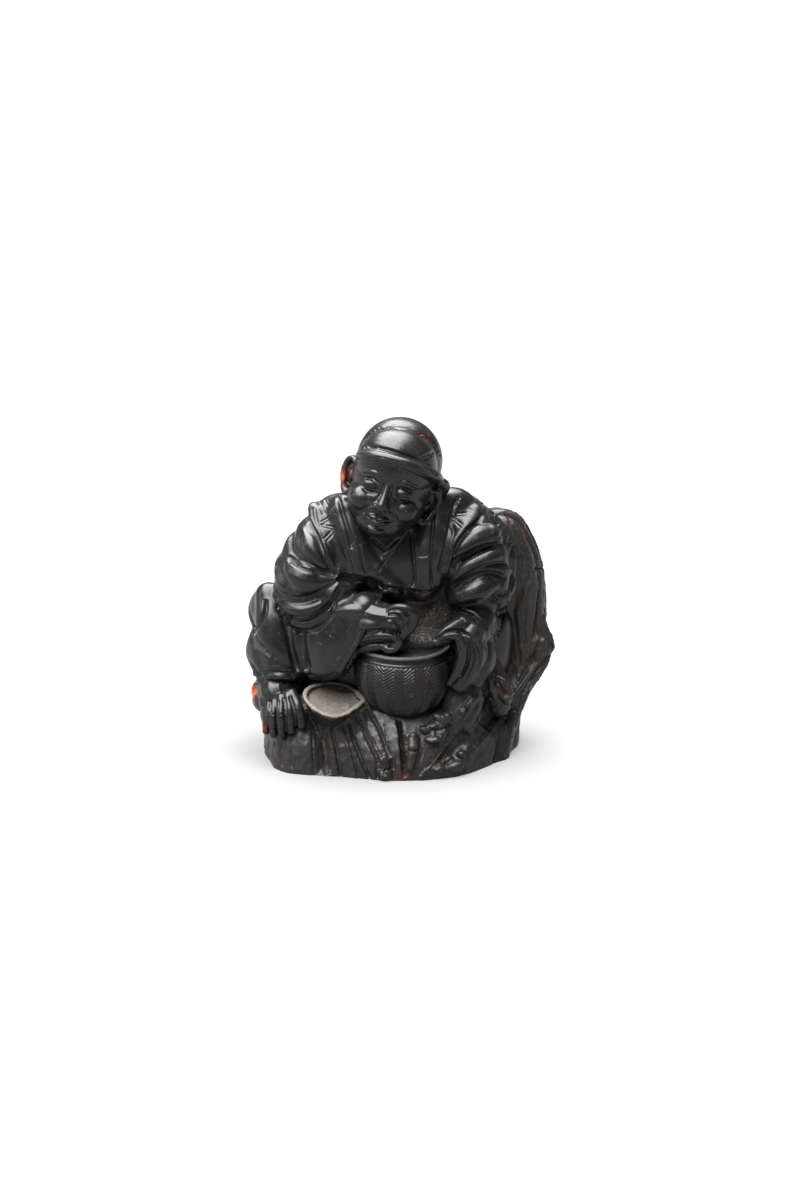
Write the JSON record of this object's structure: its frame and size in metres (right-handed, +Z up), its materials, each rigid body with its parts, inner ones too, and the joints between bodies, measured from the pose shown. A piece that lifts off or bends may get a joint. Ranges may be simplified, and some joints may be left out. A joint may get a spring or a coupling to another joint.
{
  "type": "netsuke",
  "caption": "Small dark carved netsuke: a seated robed man in a cap who leans on a tree trunk, with both hands at a woven basket, beside a cut stump.",
  "frame": {"origin": "middle of the bounds, on the flat underside that it stands on", "axes": "+X towards the tree trunk (right in the front view), +Y towards the back with the cord holes, +Z up"},
  "size_m": [0.0376, 0.0236, 0.0423],
  "materials": {
    "dark_horn": "polished near-black horn with fine scratches, brown dust in the recesses and reddish thin edges"
  },
  "bodies": {
    "root": {"netsuke": "dark_horn"}
  },
  "joints": []
}
